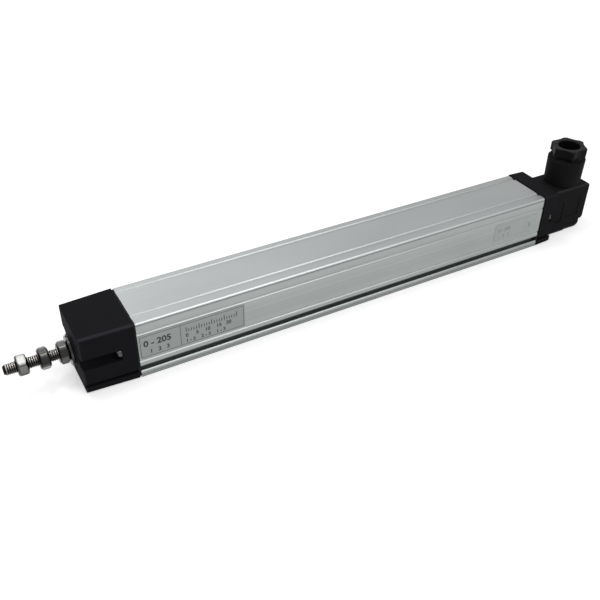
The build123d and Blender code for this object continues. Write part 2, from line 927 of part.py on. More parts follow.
def lead_wires():
    """The three wires from the board's posts to the tails of the signal pins."""
    wires = Part()
    upper_pin = connector_height + pin_offset
    places = ((-pin_offset, connector_height), (0, upper_pin), (pin_offset, connector_height))
    for y, pin_height in places:
        start = (terminal_x, y, terminal_top)
        corner = (terminal_x, y, pin_height)
        bend = min(wire_bend_radius, wire_straight_share * (pin_height - terminal_top))
        path = FilletPolyline(start, corner, (pin_front, y, pin_height), radius=bend)
        wires += sweep(Plane(origin=start, z_dir=(0, 0, 1)) * Circle(wire_radius), path=path)
    return wires


def about_connector(half_width, half_height):
    """A rectangle centred on the connector's axis."""
    bottom = connector_height - half_height
    top = connector_height + half_height
    return rect(-half_width, half_width, bottom, top)


def pin_sections(growth):
    """The sections of the four blades, each grown all round by a clearance."""
    wide = pin_width / 2 + growth
    thin = pin_thickness / 2 + growth
    places = (
        (-pin_offset, 0, thin, wide),
        (pin_offset, 0, thin, wide),
        (0, pin_offset, wide, thin),
        (0, -pin_offset, wide, thin),
    )
    section = Sketch()
    for y, z, half_y, half_z in places:
        height = connector_height + z
        section += rect(y - half_y, y + half_y, height - half_z, height + half_z)
    return section


def base_screw_circles(radius):
    """A circle on the axis of each of the connector base's four screws."""
    section = Sketch()
    for y in (-base_screw_offset_y, base_screw_offset_y):
        for z in (-base_screw_offset_z, base_screw_offset_z):
            section += Pos(y, connector_height + z) * Circle(radius)
    return section


def connector_base():
    """The flanged socket in the rear cap that holds the pins."""
    flange_front = rear_cap_face - flange_thickness
    head_seat = rear_cap_face - base_head_height
    hole_end = rear_cap_face - base_hole_depth
    hole_radius = fixing_screw_radius + thread_clearance
    base = along_x(about_connector(flange_half_width, flange_half_height), flange_front, rear_cap_face)
    base += along_x(about_connector(base_half_width, base_half_width), base_front, flange_front)
    base -= along_x(pin_sections(0), base_front, rear_cap_face)
    base -= along_x(base_screw_circles(base_screw_radius), flange_front, rear_cap_face)
    base -= along_x(base_screw_circles(base_head_radius + fit_clearance), head_seat, rear_cap_face)
    base -= disc_x(hole_end, rear_cap_face, hole_radius, 0, connector_height)
    return base


def base_screws():
    """The four slotted screws that hold the base in the rear cap."""
    head_seat = rear_cap_face - base_head_height
    slot_floor = rear_cap_face - base_head_height / 2
    half_slot = recess_width / 2
    far_side = 2 * housing_half_width
    slots = Sketch()
    for z in (-base_screw_offset_z, base_screw_offset_z):
        height = connector_height + z
        slots += rect(-far_side, far_side, height - half_slot, height + half_slot)
    screws = along_x(base_screw_circles(base_head_radius), head_seat, rear_cap_face)
    screws += along_x(base_screw_circles(base_screw_radius), head_seat - base_screw_length, head_seat)
    return screws - along_x(slots, slot_floor, rear_cap_face)


def connector_pins():
    """The four contact blades, with bevelled tips towards the connector."""
    pins = along_x(pin_sections(0), pin_front, pin_front + pin_length)
    tips = pins.edges().filter_by(Axis.X, reverse=True).group_by(Axis.X)[-1]
    return chamfer(tips, pin_tip_bevel)


def connector_gasket():
    """The flat gasket between the rear cap and the connector housing."""
    half_height = connector_gasket_half_height
    bottom = connector_height - half_height
    top = connector_height + half_height
    section = rounded_rect(connector_gasket_half_width, bottom, top, connector_gasket_corner)
    section -= about_connector(connector_gasket_opening, connector_gasket_opening)
    return along_x(section, rear_cap_face, connector_front)


def profile_xz(x_range, z_range, bottom_radius, top_radius):
    """A rectangle in X and Z with its two rear corners rounded."""
    middle = Pos((x_range[0] + x_range[1]) / 2, (z_range[0] + z_range[1]) / 2)
    profile = middle * Rectangle(x_range[1] - x_range[0], z_range[1] - z_range[0])
    bottom_corner = profile.vertices().group_by(Axis.X)[-1].sort_by(Axis.Y)[0]
    profile = fillet(bottom_corner, bottom_radius)
    top_corner = profile.vertices().group_by(Axis.Y)[-1].sort_by(Axis.X)[-1]
    return fillet(top_corner, top_radius)


def across_y(profile, half_width):
    """A profile in X and Z carried to both sides of the middle plane."""
    return extrude(Plane.XZ * profile, amount=half_width, both=True)


def connector_block():
    """The connector's outside: the box, the inset skirt under it and the barrel."""
    box_length = (connector_front, connector_rear)
    skirt_length = (connector_front, connector_rear - skirt_inset_x)
    box_height = (skirt_line_height, connector_top)
    skirt_height = (connector_bottom, skirt_top)
    box = across_y(
        profile_xz(box_length, box_height, top_corner_radius, top_corner_radius),
        connector_half_width,
    )
    side_edges = box.edges().filter_by(is_box_rim)
    box = fillet(side_edges, connector_edge_radius)
    skirt = across_y(
        profile_xz(skirt_length, skirt_height, skirt_corner_radius, fit_clearance),
        connector_half_width - skirt_inset_y,
    )
    front_length = (connector_front, skirt_line_front)
    side = connector_half_width
    skirt += block(front_length, (-side, side), (connector_bottom, skirt_top))
    barrel_foot = connector_top - top_corner_radius
    barrel = turned_z(
        [
            (0, barrel_foot),
            (barrel_base_radius, barrel_foot),
            (barrel_base_radius, connector_top),
            (barrel_top_radius, barrel_top - barrel_edge),
            (barrel_top_radius - barrel_edge, barrel_top),
            (0, barrel_top),
        ],
        gland_x,
    )
    return box + skirt + barrel


def is_box_rim(edge):
    """Is an edge on the rim of the connector box's side, above its skirt and behind its front?"""
    middle = edge.center()
    on_side = abs(abs(middle.Y) - connector_half_width) < fit_clearance
    above_skirt = middle.Z > skirt_line_height + fit_clearance
    return on_side and above_skirt and middle.X > connector_front + fit_clearance


def connector_lines():
    """The lines and panels cut in both sides of the connector, in X and Z."""
    half_line = parting_line_width / 2
    upright = block(
        (parting_line_x - half_line, parting_line_x + half_line),
        (connector_half_width - parting_line_depth, 2 * connector_half_width),
        (parting_line_bottom - half_line, parting_line_top),
    )
    foot = block(
        (parting_line_front, parting_line_x),
        (connector_half_width - parting_line_depth, 2 * connector_half_width),
        (parting_line_bottom - half_line, parting_line_bottom + half_line),
    )
    panel = block(
        (side_panel_front, side_panel_rear),
        (connector_half_width - side_panel_depth, 2 * connector_half_width),
        (side_panel_bottom, side_panel_top),
    )
    lines = upright + foot + panel
    return lines + mirror(lines, Plane.XZ)


def connector_housing():
    """The right-angle connector housing with its cavity, cable entry and screw boss."""
    cavity_rear = connector_rear - end_wall
    cavity_top = connector_top - cavity_margin
    cavity_length = (connector_front, cavity_rear)
    cavity_height = (connector_bottom + cavity_margin, cavity_top)
    cavity = across_y(
        profile_xz(cavity_length, cavity_height, cavity_corner_radius, cavity_top_radius),
        connector_half_width - side_wall,
    )
    boss_front = cavity_rear - fixing_boss_length
    seat = connector_rear - fixing_recess_depth
    housing = connector_block() - connector_lines() - cavity
    housing += disc_x(boss_front, cavity_rear, fixing_boss_radius, 0, connector_height)
    housing -= disc_x(boss_front, seat, fixing_hole_radius, 0, connector_height)
    housing -= disc_x(seat, connector_rear, fixing_recess_radius, 0, connector_height)
    housing -= disc_z(gland_x, 0, cavity_top, gland_floor, cable_hole_radius)
    housing -= disc_z(gland_x, 0, gland_floor, barrel_top, barrel_bore_radius)
    return housing


def terminal_insert():
    """The insert that holds the four sockets and guides the fixing screw."""
    front = connector_front + insert_front_gap
    rear = front + insert_depth
    socket_front = front + socket_front_gap
    insert = along_x(about_connector(insert_half_width, insert_half_height), front, rear)
    insert -= along_x(pin_sections(socket_gap), front, socket_front)
    insert -= along_x(pin_sections(socket_gap + socket_wall), socket_front, clamp_front())
    insert -= along_x(clamp_section(), clamp_front(), rear)
    insert -= disc_x(front, rear, fixing_hole_radius, 0, connector_height)
    return insert


def clamp_front():
    """The X at which the sockets' tubes end and their wire clamps begin."""
    return connector_front + insert_front_gap + socket_front_gap + socket_depth


def pin_places():
    """The Y and Z of the four blades' middles."""
    upper = connector_height + pin_offset
    lower = connector_height - pin_offset
    return (-pin_offset, connector_height), (pin_offset, connector_height), (0, upper), (0, lower)


def clamp_section():
    """The square sections of the four wire clamps."""
    section = Sketch()
    for y, z in pin_places():
        section += Pos(y, z) * Rectangle(2 * clamp_half_width, 2 * clamp_half_width)
    return section


def clamp_screw_circles(radius):
    """A circle on the axis of each clamping screw."""
    section = Sketch()
    for y, z in pin_places():
        section += Pos(y, z) * Circle(radius)
    return section


def socket_contacts():
    """The four sockets: a flat tube for the blade and a clamp for the wire behind it."""
    front = clamp_front()
    rear = front + clamp_depth
    tube = pin_sections(socket_gap + socket_wall) - pin_sections(socket_gap)
    contacts = along_x(tube, front - socket_depth, front)
    contacts += along_x(clamp_section(), front, rear)
    screw_hole = clamp_screw_circles(clamp_screw_radius + thread_clearance)
    contacts -= along_x(screw_hole, rear - clamp_screw_depth, rear)
    wire_x = rear - clamp_screw_depth - wire_hole_radius / 2
    for y, z in pin_places():
        hole_bottom = z - clamp_half_width
        contacts -= disc_z(wire_x, y, hole_bottom, z + clamp_half_width, wire_hole_radius)
    return contacts


def terminal_screws():
    """The four slotted screws that clamp the wires."""
    seat = clamp_front() + clamp_depth
    head_top = seat + clamp_head_height
    screws = along_x(clamp_screw_circles(clamp_screw_radius), seat - clamp_screw_depth, seat)
    screws += along_x(clamp_screw_circles(clamp_head_radius), seat, head_top)
    half_slot = recess_width / 2
    slots = Sketch()
    for y, z in pin_places():
        half_length = clamp_head_radius
        slots += rect(y - half_length, y + half_length, z - half_slot, z + half_slot)
    return screws - along_x(slots, head_top - clamp_head_height / 2, head_top)


def fixing_screw():
    """The long screw from the connector's rear into the base."""
    seat = fixing_head_seat()
    head_top = seat + fixing_head_height
    slot_floor = head_top - fixing_head_height / 2
    half_slot = recess_width / 2
    middle = connector_height
    screw = disc_x(seat - fixing_screw_length, seat, fixing_screw_radius, 0, middle)
    screw += disc_x(seat, head_top, fixing_head_radius, 0, middle)
    side = fixing_head_radius
    screw -= block((slot_floor, head_top), (-side, side), (middle - half_slot, middle + half_slot))
    return screw


def fixing_head_seat():
    """The X of the fixing screw's head seat, on top of its seal."""
    return connector_rear - fixing_recess_depth + fixing_seal_thickness


def fixing_screw_seal():
    """The sealing ring under the fixing screw's head."""
    ring = Circle(fixing_seal_radius) - Circle(fixing_screw_radius)
    seat = fixing_head_seat()
    return along_x(Pos(0, connector_height) * ring, seat - fixing_seal_thickness, seat)


def gland_ring(bottom, top, radius, bore):
    """A ring on the gland's axis."""
    return disc_z(gland_x, 0, bottom, top, radius) - disc_z(gland_x, 0, bottom, top, bore)


def gland_seal():
    """The rubber seal that closes on the cable."""
    seal_top = gland_floor + gland_seal_height
    return gland_ring(gland_floor, seal_top, gland_seal_radius, gland_seal_bore)


def gland_thrust_ring():
    """The slip ring between the gland nut and the seal."""
    bottom = gland_floor + gland_seal_height
    return gland_ring(bottom, bottom + thrust_ring_thickness, thrust_ring_radius, thrust_ring_bore)


def lobed_hexagon():
    """The gland nut's outline: six rounded lobes with slightly hollow flanks."""
    outline = Sketch() + Circle(gland_head_radius)
    for flank in range(6):
        cut = Pos(gland_flank_middle + gland_flank_radius, 0) * Circle(gland_flank_radius)
        outline -= Rot(0, 0, 30 + 60 * flank) * cut
    return fillet(outline.vertices(), gland_corner_radius)


def gland_nut():
    """The gland nut: a threaded sleeve under a head with six lobes."""
    sleeve_bottom = gland_floor + gland_seal_height + thrust_ring_thickness
    head_bottom = barrel_top + gland_nut_gap
    head_top = head_bottom + gland_head_height
    ridges = int((head_bottom - sleeve_bottom) / gland_thread_pitch)
    thread_bottom = head_bottom - ridges * gland_thread_pitch
    root = gland_crest_radius - gland_thread_depth
    edge = head_top - gland_head_edge
    blank = gland_head_radius + fit_clearance
    thread = thread_outline(thread_bottom, head_bottom, gland_crest_radius, root, gland_thread_pitch)
    sleeve = [(0, sleeve_bottom), (root, sleeve_bottom)]
    sleeve += [(radius, z) for z, radius in thread]
    sleeve += [(root, head_bottom + gland_head_edge), (0, head_bottom + gland_head_edge)]
    head_outline = [(0, head_bottom), (blank, head_bottom), (blank, edge)]
    head_outline += [(gland_head_radius - gland_head_edge, head_top), (0, head_top)]
    bore = [(0, sleeve_bottom), (cable_bore_radius, sleeve_bottom)]
    bore += [(cable_bore_radius, head_top - cable_mouth_width), (cable_mouth_radius, head_top)]
    bore += [(0, head_top)]
    head = extrude(Pos(gland_x, 0, head_bottom) * lobed_hexagon(), amount=gland_head_height)
    head &= turned_z(head_outline, gland_x)
    return turned_z(sleeve, gland_x) + head - turned_z(bore, gland_x)


def label_film(front, rear, bottom, top, corner):
    """A thin film with rounded corners on the housing's near side."""
    middle = Pos((front + rear) / 2, (bottom + top) / 2)
    film = middle * RectangleRounded(rear - front, top - bottom, corner)
    return extrude(Plane.XZ.offset(housing_half_width) * film, amount=label_thickness)


def type_label():
    """The type label in its two cells at the front."""
    height = (type_label_bottom, type_label_top)
    return label_film(type_label_front, type_label_rear, *height, label_corner)


def rear_label():
    """The small label near the rear end."""
    height = (rear_label_bottom, rear_label_top)
    return label_film(rear_label_front, rear_label_rear, *height, rear_label_corner)


pieces = {
    "housing_extrusion": housing_extrusion(),
    "front_cap": front_cap(),
    "front_gasket": end_gasket(front_cap_inner),
    "front_cap_screws": cap_screws(front_cap_inner - front_seat_depth, 1, front_screw_length),
    "rod_bushing": rod_bushing(),
    "rod_wiper_seal": rod_wiper_seal(),
    "front_bumper": front_bumper(),
    "rear_cap": rear_cap(),
    "rear_gasket": end_gasket(housing_rear),
    "rear_cap_screws": cap_screws(rear_cap_inner + rear_seat_depth, -1, rear_screw_length),
    "rear_bumper": rear_bumper(),
    "pull_rod": pull_rod(),
    "rod_outer_nut": rod_nut(outer_nut_centre, outer_nut_turn),
    "rod_middle_nut": rod_nut(middle_nut_centre, middle_nut_turn),
    "rod_inner_nut": rod_nut(inner_nut_centre, inner_nut_turn),
    "rod_washer": rod_washer(),
    "wiper_carriage": wiper_carriage(),
    "swivel_clip": swivel_clip(),
    "carriage_spring": carriage_spring(),
    "wiper_brushes": wiper_brushes(),
    "resistor_board": resistor_board(),
    "resistive_track": printed_track(-track_offset),
    "collector_track": printed_track(track_offset),
    "return_track": return_track(),
    "board_terminals": board_terminals(),
    "lead_wires": lead_wires(),
    "connector_base": connector_base(),
    "base_screws": base_screws(),
    "connector_pins": connector_pins(),
    "connector_gasket": connector_gasket(),
    "connector_housing": connector_housing(),
    "terminal_insert": terminal_insert(),
    "socket_contacts": socket_contacts(),
    "terminal_screws": terminal_screws(),
    "fixing_screw": fixing_screw(),
    "fixing_screw_seal": fixing_screw_seal(),
    "gland_seal": gland_seal(),
    "gland_thrust_ring": gland_thrust_ring(),
    "gland_nut": gland_nut(),
    "type_label": type_label(),
    "rear_label": rear_label(),
}

for name, shape in pieces.items():
    export_step(shape, f"parts/{name}.step")
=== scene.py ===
import json
import math

import bpy
from mathutils import Matrix, Vector


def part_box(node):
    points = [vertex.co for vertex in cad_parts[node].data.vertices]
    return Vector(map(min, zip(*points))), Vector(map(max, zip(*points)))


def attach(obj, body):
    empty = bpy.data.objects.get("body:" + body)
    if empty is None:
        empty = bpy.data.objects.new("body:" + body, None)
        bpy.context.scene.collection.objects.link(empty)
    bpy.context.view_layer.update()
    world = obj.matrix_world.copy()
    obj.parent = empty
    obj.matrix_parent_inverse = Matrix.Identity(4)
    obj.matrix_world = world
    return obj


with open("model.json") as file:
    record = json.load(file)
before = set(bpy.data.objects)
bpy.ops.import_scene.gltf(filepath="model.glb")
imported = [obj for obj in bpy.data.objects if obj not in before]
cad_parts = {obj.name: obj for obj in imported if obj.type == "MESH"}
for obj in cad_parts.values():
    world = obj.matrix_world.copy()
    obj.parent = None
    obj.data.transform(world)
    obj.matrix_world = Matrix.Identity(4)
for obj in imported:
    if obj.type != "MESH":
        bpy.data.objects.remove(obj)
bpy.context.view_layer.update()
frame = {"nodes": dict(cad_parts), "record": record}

# All sizes below are in millimetres; MM turns them into metres.
MM = 0.001


def box_of(piece):
    """A piece's lower and upper corners in the frame."""
    return [[value / MM for value in corner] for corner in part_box(piece)]


# Camera, in the part's frame
camera_place = (-201.8, -307.2, 265.5)
camera_turn = (-28.05, 53.23, -1.05)
camera_lens = 48.06

# Surroundings, and a floor whose glow rises to white between two distances
world_light = 0.5
floor_reach = 4000.0
floor_white = 0.86
floor_glow = 0.6
near_glow = 0.69
near_glow_radius = 500.0
far_glow_radius = 1500.0

# Soft lamps: name, place, target, width, height and power
softboxes = (
    ("overhead_box", (60, 150, 900), (0, 0, 0), 900, 600, 0.5),
    ("front_box", (-900, -250, 500), (-100, 0, 20), 500, 500, 0.85),
    ("back_box", (0, 750, 560), (-80, 0, 30), 500, 400, 0.3),
    ("near_box", (200, -600, 740), (0, 0, 20), 500, 300, 2.1),
    ("rod_top_box", (-165, 133, 856), (-190, 0, 16), 220, 180, 0.95),
    ("rod_back_box", (-115, 590, 627), (-165, 0, 16), 110, 330, 0.8),
)

# The profile's wall, beads, clamp groove and foot
wall_face = 16.5
profile_top = 33.0
bead_inner = 15.6
bead_outer = 16.2
bead_low = 31.9
bead_high = 32.4
groove_roof = 7.1
groove_room = 13.0
foot_top = 3.85
foot_face = 15.5

# The rod's axis, and how far from it the painted shade with brown grime in the thread roots, the grime
# round the nuts' bores and the painted light on the nuts' corners lie
rod_axis_height = 16.5
root_shade_and_grime_outer = 2.87
root_shade_and_grime_inner = 2.65
nut_grime_outer = 4.1
nut_grime_inner = 3.3
nut_corner_start = 5.25
nut_corner_end = 5.5

# How far from its end faces a nut's bevels lie
bevel_start = 1.1
bevel_end = 0.4

# The connector's near side, with its parting line, its shallow panel and its corners
connector_low, connector_high = box_of("connector_housing")
side_face = -connector_low[1]
line_front = connector_low[0] + 6.4
panel_rear = connector_high[0] - 5.7
line_bottom = 7.9
panel_top = 22.2
line_depth = 0.3
line_floor = 0.6
connector_reach = 40.8
corner_bottom = 26.0
corner_top = 30.4

# The rim round the gland nut's bore
gland_top = box_of("gland_nut")[1][2]

# The caps' corners: how far y and z reach together, and what each millimetre of draft takes off
cap_reach = 49.4
cap_loss = 0.053
cap_root = 126.0
cap_face = -box_of("front_cap")[0][0]
cap_half_width = 15.3

# Printed marks on the type label: the frame round both cells and the line between them
label_face = box_of("type_label")[0][1]
cells_front = -124.8
cells_rear = -70.9
cells_bottom = 12.1
cells_top = 24.0
cells_divider = -104.5
cells_line = 0.35
print_lift = 0.015
print_weight = 0.035

# Printed marks on the rear label
faint_front = 91.8
faint_rear = 122.0
faint_bottom = 13.8
faint_top = 23.2
faint_divider = 113.8
faint_line = 0.25

# The printed scale in the type label's second cell
scale_start = -101.5
scale_height = 19.2
scale_ticks = 21
scale_pitch = 1.35
tick_width = 0.4
tick_height = 1.8
long_tick_every = 5
long_tick_height = 2.9
tick_film = 0.01


class Wire:
    """A node's output in a finish. Sums and products of it add Math nodes."""

    def __init__(self, finish, socket):
        self.finish = finish
        self.socket = socket

    def math(self, operation, *values):
        """A Math node of these values."""
        return self.finish.node("ShaderNodeMath", {"operation": operation}, dict(enumerate(values)))

    def __add__(self, other):
        return self.math("ADD", self, other)

    __radd__ = __add__

    def __sub__(self, other):
        return self.math("SUBTRACT", self, other)

    def __rsub__(self, other):
        return self.math("SUBTRACT", other, self)

    def __mul__(self, other):
        return self.math("MULTIPLY", self, other)

    __rmul__ = __mul__

    def __truediv__(self, other):
        return self.math("DIVIDE", self, other)

    def __pow__(self, power):
        return self.math("POWER", self, power)

    def __gt__(self, limit):
        return self.math("GREATER_THAN", self, limit)

    def __lt__(self, limit):
        return self.math("LESS_THAN", self, limit)

    def __abs__(self):
        return self.math("ABSOLUTE", self)

    def ramp(self, low, high):
        """0 at the low value, 1 at the high one and straight between them."""
        settings = {"clamp": True}
        inputs = {"Value": self, "From Min": low, "From Max": high}
        return self.finish.node("ShaderNodeMapRange", settings, inputs)


class Finish:
    """A material whose nodes are written as expressions."""

    def __init__(self, name, metallic=0.0, **constants):
        self.material = bpy.data.materials.new(name)
        self.material.use_nodes = True
        self.tree = self.material.node_tree
        self.shader = self.tree.nodes["Principled BSDF"]
        self.shader.inputs["Metallic"].default_value = metallic
        for socket, value in constants.items():
            self.shader.inputs[socket.replace("_", " ")].default_value = value

    def feed(self, socket, value):
        """Links a wire to a socket, or sets the socket's value."""
        if isinstance(value, Wire):
            self.tree.links.new(value.socket, socket)
        else:
            socket.default_value = value

    def node(self, kind, settings=None, inputs=None, output=0):
        """A node of this kind, with its settings made first and then its inputs."""
        node = self.tree.nodes.new(kind)
        for setting, value in (settings or {}).items():
            setattr(node, setting, value)
        for socket, value in (inputs or {}).items():
            self.feed(node.inputs[socket], value)
        return Wire(self, node.outputs[output])

    def place(self):
        """Where a point is on the object, in metres."""
        return self.node("ShaderNodeTexCoord", output="Object")

    def axes(self):
        """The point's X, Y and Z in millimetres."""
        split = {"Vector": self.place()}
        return [self.node("ShaderNodeSeparateXYZ", None, split, axis) / MM for axis in "XYZ"]

    def noise(self, per_mm, detail=3.0, roughness=0.55, seed=0.0):
        """Noise with this many features to the millimetre along X, Y and Z."""
        scale = [value / MM for value in per_mm]
        spread = {"Vector": self.place(), "Scale": scale, "Location": (seed, seed, seed)}
        inputs = {"Vector": self.node("ShaderNodeMapping", None, spread), "Scale": 1.0}
        inputs.update({"Detail": detail, "Roughness": roughness})
        return self.node("ShaderNodeTexNoise", {"noise_dimensions": "3D"}, inputs)

    def blend(self, factor, first, second):
        """The first colour where the factor is 0 and the second where it is 1."""
        inputs = {0: factor, 6: self.colour(first), 7: self.colour(second)}
        return self.node("ShaderNodeMix", {"data_type": "RGBA"}, inputs, 2)

    def colour(self, value):
        """A colour with its alpha, or a wire as it is."""
        return value if isinstance(value, Wire) else (*value, 1.0)

    def bump(self, height, depth):
        """A normal for a surface that stands up by height times depth millimetres."""
        return self.node("ShaderNodeBump", None, {"Height": height, "Distance": depth * MM})

    def dress(self, colour, roughness, normal=None):
        """Gives the shader its colour, roughness and normal."""
        self.feed(self.shader.inputs["Base Color"], self.colour(colour))
        self.feed(self.shader.inputs["Roughness"], roughness)
        if normal:
            self.feed(self.shader.inputs["Normal"], normal)
        return self.material


def tint(colour, factor):
    """A colour made lighter or darker."""
    return tuple(min(1.0, channel * factor) for channel in colour)


def profile_aluminium():
    """Satin anodised extrusion: die lines along X, cloudy anodising, random scuffs, a top painted
    lighter than the sides, a painted highlight on the beads, and painted shade in the groove, on the
    foot, towards the rear and, on top, towards the front.
    """
    finish = Finish("profile_aluminium", 1.0)
    x, y, z = finish.axes()
    die_lines = finish.noise((0.004, 7.0, 7.0), 2.0)
    bands = finish.noise((0.0015, 0.7, 0.7), 3.0, 0.6, seed=5.0)
    clouds = finish.noise((0.02, 0.06, 0.06), 3.0, seed=3.0)
    speckle = finish.noise((6.0, 6.0, 6.0), 2.0, seed=7.0)
    scuffs = finish.noise((0.25, 1.6, 1.6), 4.0, 0.7, seed=11.0).ramp(0.66, 0.72)
    out = abs(y)
    on_bead = out.ramp(bead_inner, bead_outer) * z.ramp(bead_low, bead_high)
    in_mouth = out.ramp(wall_face, wall_face - 0.4) * (out > groove_room)
    in_groove = in_mouth * z.ramp(groove_roof + 0.2, groove_roof - 0.2) * (z > foot_top)
    foot_edge = (z.ramp(2.2, 0.8) * 0.9 + (z < foot_top) * 0.08) * (out > foot_face)
    shade = (die_lines * 0.25 + bands * 0.4 + clouds * 0.2 + speckle * 0.15).ramp(0.3, 0.7)
    on_top = z.ramp(profile_top - 1.5, profile_top)
    # The top's tone is painted lighter than the sides' as painted light, and is a little bluer
    side_tone = finish.blend(shade, (0.27, 0.29, 0.283), (0.395, 0.415, 0.407))
    top_tone = finish.blend(shade * 0.6 + clouds * 0.4, (0.345, 0.358, 0.36), (0.425, 0.438, 0.44))
    colour = finish.blend(on_top, side_tone, top_tone)
    # Painted shade: the tone falls a little towards the rear, and on top towards the front too
    to_rear = x.ramp(-60.0, 130.0)
    to_front = x.ramp(-50.0, -126.0)
    painted_falloff = to_rear * (0.1 + on_top * 0.12) + to_front * on_top * 0.32
    colour = finish.blend(painted_falloff, colour, (0.12, 0.125, 0.12))
    # Painted highlight along the beads, fading towards the rear, blended with random scuffs
    bead = on_bead * (0.8 - x.ramp(-100.0, 130.0) * 0.5)
    colour = finish.blend(bead + scuffs * 0.1, colour, (0.58, 0.59, 0.615))
    # Painted shade in the clamp groove, darker with depth
    depth = z.ramp(groove_roof - 0.3, groove_roof - 2.1)
    colour = finish.blend(in_groove * (0.25 + depth * 0.3), colour, (0.08, 0.084, 0.084))
    # Painted shade on the foot, darkest along its bottom edge
    colour = finish.blend(foot_edge * 0.5, colour, (0.1, 0.104, 0.102))
    roughness = 0.34 + die_lines * 0.1 + speckle * 0.06 - scuffs * 0.06 - on_bead * 0.08
    normal = finish.bump(die_lines + bands * 0.8 + speckle * 0.4, 0.012)
    return finish.dress(colour, roughness, normal)


def cap_corner_highlight(finish):
    """Painted highlight: 1 on the corners between a cap's top and its sides and round its outer face,
    stronger on the front cap.
    """
    x, y, z = finish.axes()
    reach = abs(y) + z + (abs(x) - cap_root) * cap_loss
    top_corner = reach.ramp(cap_reach - 0.55, cap_reach - 0.1)
    face_corner = cap_face + cap_half_width
    side_corner = (abs(y) - x).ramp(face_corner - 0.4, face_corner)
    on_front_cap = x < 0.0
    return top_corner.math("MAXIMUM", top_corner, side_corner * 0.7) * (0.12 + on_front_cap * 0.28)


def connector_light_and_shade(finish):
    """Painted light and shade: 1 for a painted highlight on the corners of the connector's box and a
    painted reflection along its lower edge, and below 0 for painted shade in its lines.
    """
    x, y, z = finish.axes()
    out = abs(y)
    upright = inside(z, corner_bottom, corner_top)
    corner = (out + z).ramp(connector_reach - 0.7, connector_reach) * upright
    # Painted reflection of the floor along the lower edge
    low_edge_reflection = z.ramp(2.0, 0.7)
    parting = inside(out, side_face - line_floor, side_face - line_depth)
    panel_walls = inside(out, side_face - 0.23, side_face - 0.02) * 0.6
    on_side = inside(x, line_front, panel_rear) * inside(z, line_bottom, panel_top)
    return corner * 0.45 + low_edge_reflection - (parting + panel_walls) * on_side


def gland_rim_highlight(finish):
    """Painted highlight, 1 on the rim round the gland nut's bore."""
    _, _, z = finish.axes()
    return z.ramp(gland_top - 0.6, gland_top - 0.3) * 0.3


def moulded_plastic(name, colour, grain, roughness, seed, shine=0.3, marks=None):
    """Moulded plastic: fine erosion grain, slight flow clouds and polished rub marks."""
    finish = Finish(name, 0.0, Specular_IOR_Level=shine)
    texture = finish.noise((grain, grain, grain), 4.0, 0.65, seed)
    clouds = finish.noise((0.05, 0.08, 0.08), 3.0, 0.5, seed + 2.0)
    rubs = finish.noise((0.5, 1.2, 0.9), 4.0, 0.7, seed + 5.0).ramp(0.62, 0.74)
    shade = texture * 0.45 + clouds * 0.55
    surface = finish.blend(shade, tint(colour, 0.7), tint(colour, 1.35))
    surface = finish.blend(rubs * 0.25, surface, tint(colour, 2.2))
    # The marks give painted highlight where they are above 0 and painted shade where they are below 0
    if marks:
        painted_light = marks(finish)
        surface = finish.blend(painted_light.ramp(0.0, 1.0), surface, tint(colour, 7.0))
        surface = finish.blend(painted_light.ramp(0.0, -1.0), surface, tint(colour, 0.1))
    sheen = roughness + texture * 0.12 + clouds * 0.06 - rubs * 0.1
    return finish.dress(surface, sheen, finish.bump(texture, 0.03))


def rubber(name, colour, seed):
    """Matte rubber with a dusty bloom."""
    finish = Finish(name, 0.0, Specular_IOR_Level=0.25)
    pores = finish.noise((3.0, 3.0, 3.0), 5.0, 0.7, seed)
    bloom = finish.noise((0.15, 0.2, 0.2), 3.0, 0.5, seed + 1.0).ramp(0.4, 0.75)
    surface = finish.blend(pores, tint(colour, 0.7), tint(colour, 1.3))
    surface = finish.blend(bloom * 0.3, surface, tint(colour, 2.4))
    return finish.dress(surface, 0.72 + pores * 0.15, finish.bump(pores, 0.03))


def from_rod_axis(finish):
    """How far a point is from the rod's axis, in millimetres."""
    _, y, z = finish.axes()
    rise = z - rod_axis_height
    return (y * y + rise * rise) ** 0.5


def threaded_steel(name, colour, seed):
    """The rod's steel: a painted highlight on its upper side, painted shade with brown grime in the
    thread roots, and stains.
    """
    finish = Finish(name, 1.0)
    radius = from_rod_axis(finish)
    _, _, z = finish.axes()
    on_top = z.ramp(rod_axis_height + 1.2, rod_axis_height + 2.4)
    root_edge_noise = finish.noise((1.5, 2.5, 2.5), 3.0, 0.6, seed)
    stains = finish.noise((0.4, 0.6, 0.6), 4.0, 0.6, seed + 2.0)
    turning = finish.noise((9.0, 0.3, 0.3), 2.0, 0.5, seed + 4.0)
    root = (radius + root_edge_noise * 0.12).ramp(root_shade_and_grime_outer, root_shade_and_grime_inner)
    shade = stains * 0.6 + turning * 0.4
    surface = finish.blend(shade, tint(colour, 0.6), tint(colour, 1.3))
    # Painted highlight along the rod's upper side
    surface = finish.blend(on_top * 0.9, surface, tint(colour, 3.1))
    # Painted shade with brown grime in the thread roots
    surface = finish.blend(root * 0.98, surface, (0.004, 0.003, 0.002))
    sheen = 0.16 + stains * 0.1 + root * 0.3
    return finish.dress(surface, sheen, finish.bump(turning + stains * 0.5, 0.006))


